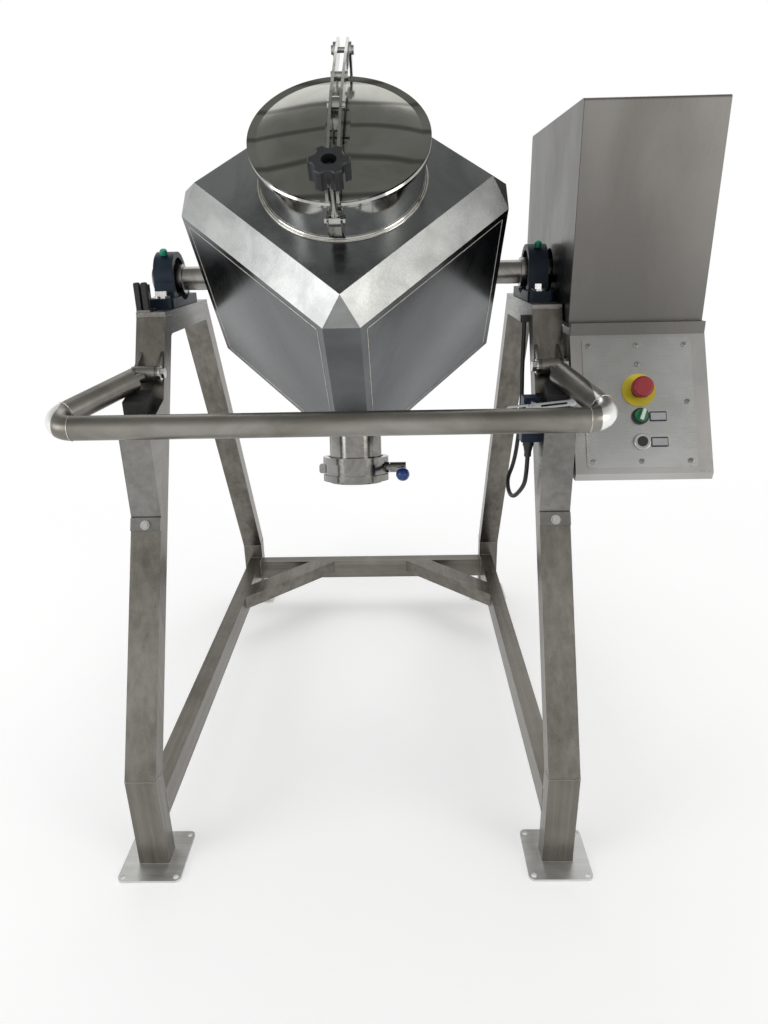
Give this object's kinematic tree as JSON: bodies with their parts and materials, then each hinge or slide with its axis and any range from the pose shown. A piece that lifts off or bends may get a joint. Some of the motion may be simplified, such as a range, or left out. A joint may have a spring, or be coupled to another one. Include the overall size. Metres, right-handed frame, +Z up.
{
  "type": "cube mixer",
  "caption": "Cubic powder mixer: a stainless cube vessel turning corner over corner on a shaft between two A-frames, with clamped lid, valve outlet, guard bar, drive cover and control panel",
  "frame": {"origin": "on the floor, midway between the four feet, below the vessel's shaft", "axes": "+X to the drive side along the shaft, +Y to the back, +Z up"},
  "size_m": [1.231, 1.267, 1.5211],
  "materials": {
    "brushed": "brushed stainless tube and plate",
    "satin": "fine satin stainless sheet",
    "polished": "polished stainless",
    "bright": "bright turned steel",
    "navy": "dark blue cast housing, semi-gloss paint",
    "green": "green cap",
    "rubber": "black rubber",
    "black": "black moulded plastic",
    "seal": "white silicone",
    "blue": "glossy blue ball",
    "red": "red mushroom head",
    "yellow": "yellow disc",
    "zinc": "zinc-plated lever",
    "grey": "grey paint"
  },
  "bodies": {
    "frame": {"front_legs": "brushed", "rear_legs": "brushed", "head_plates": "brushed", "head_gussets": "brushed", "side_rails": "brushed", "corner_braces": "brushed", "rear_rail": "brushed", "foot_plates": "brushed", "bearing_housings": "navy", "bearing_outer_rings": "bright", "frame_bolts": "bright", "grease_caps": "green", "left_stop_block": "brushed", "left_stop_strips": "rubber", "stop_brackets": "brushed", "stop_pads": "rubber", "guard_lugs": "brushed", "guard_pins": "bright", "switch_body": "navy", "cable_glands": "black", "switch_cable": "black", "cover_tray": "brushed", "drive_cover": "satin", "control_box": "satin", "control_box_back": "satin", "box_brackets": "brushed", "panel_plate": "satin", "panel_screws": "bright", "stop_disc": "yellow", "control_bezels": "black", "button_bezel": "bright", "legend_plates": "black", "reducer_housing": "grey", "drive_motor": "grey"},
    "vessel": {"vessel_shell": "satin", "vessel_top": "satin", "neck": "polished", "neck_hinge": "polished", "clamp_bracket": "polished", "shafts": "bright", "shaft_rings": "bright", "outlet_tube": "polished", "valve_gaskets": "seal", "valve_body": "polished", "outlet_clamps": "polished", "outlet_ferrule": "polished"},
    "valve": {"valve_disc": "polished", "valve_lever": "polished", "lever_ball": "blue"},
    "lid": {"lid_dish": "polished", "lid_gasket": "seal", "lid_arm_bars": "polished", "lid_arm_pins": "polished"},
    "swing_bolt": {"clamp_bolt": "polished"},
    "knob": {"star_knob": "black"},
    "guard": {"guard_bar": "polished"},
    "limit_lever": {"switch_lever": "zinc"},
    "stop_button": {"stop_head": "red"},
    "selector": {"selector_knob": "green"},
    "start_button": {"push_button": "black"}
  },
  "joints": [
    {"name": "vessel_spin", "type": "hinge", "parent": "frame", "child": "vessel", "pos_m": [0, 0, 1.095], "axis": [1, 0, 0], "continuous": true},
    {"name": "lid_hinge", "type": "hinge", "parent": "vessel", "child": "lid", "pos_m": [0.00525, -0.12323, 1.49781], "axis": [-0.9996, 0.0203, 0.0192], "range_deg": [0, 105]},
    {"name": "bolt_swing", "type": "hinge", "parent": "lid", "child": "swing_bolt", "pos_m": [-0.00494, -0.34312, 1.19949], "axis": [0.9996, -0.0203, -0.0192], "range_deg": [0, 100]},
    {"name": "knob_turn", "type": "hinge", "parent": "swing_bolt", "child": "knob", "pos_m": [-0.00494, -0.4037, 1.26332], "axis": [0, -0.6884, 0.7253], "continuous": true},
    {"name": "valve_turn", "type": "hinge", "parent": "vessel", "child": "valve", "pos_m": [0, -0.08394, 0.67225], "axis": [1, 0, 0], "range_deg": [0, 90]},
    {"name": "guard_lift", "type": "hinge", "parent": "frame", "child": "guard", "pos_m": [0, -0.25, 0.928], "axis": [-1, 0, 0], "range_deg": [0, 40]},
    {"name": "limit_lever_turn", "type": "hinge", "parent": "frame", "child": "limit_lever", "pos_m": [0.356, -0.33, 0.865], "axis": [0, -1, 0], "range_deg": [0, 30]},
    {"name": "stop_push", "type": "slide", "parent": "frame", "child": "stop_button", "axis": [0, 0.8848, -0.466], "range_m": [0, 0.004], "stiffness_N_per_m": 600},
    {"name": "selector_turn", "type": "hinge", "parent": "frame", "child": "selector", "pos_m": [0.564, -0.3182, 0.83983], "axis": [0, -0.8848, 0.466], "range_deg": [-60, 0]},
    {"name": "start_push", "type": "slide", "parent": "frame", "child": "start_button", "axis": [0, 0.8848, -0.466], "range_m": [0, 0.003], "stiffness_N_per_m": 500}
  ],
  "couplings": [
    {"joint": "limit_lever_turn", "follows": "guard_lift", "ratio": 0.75}
  ]
}
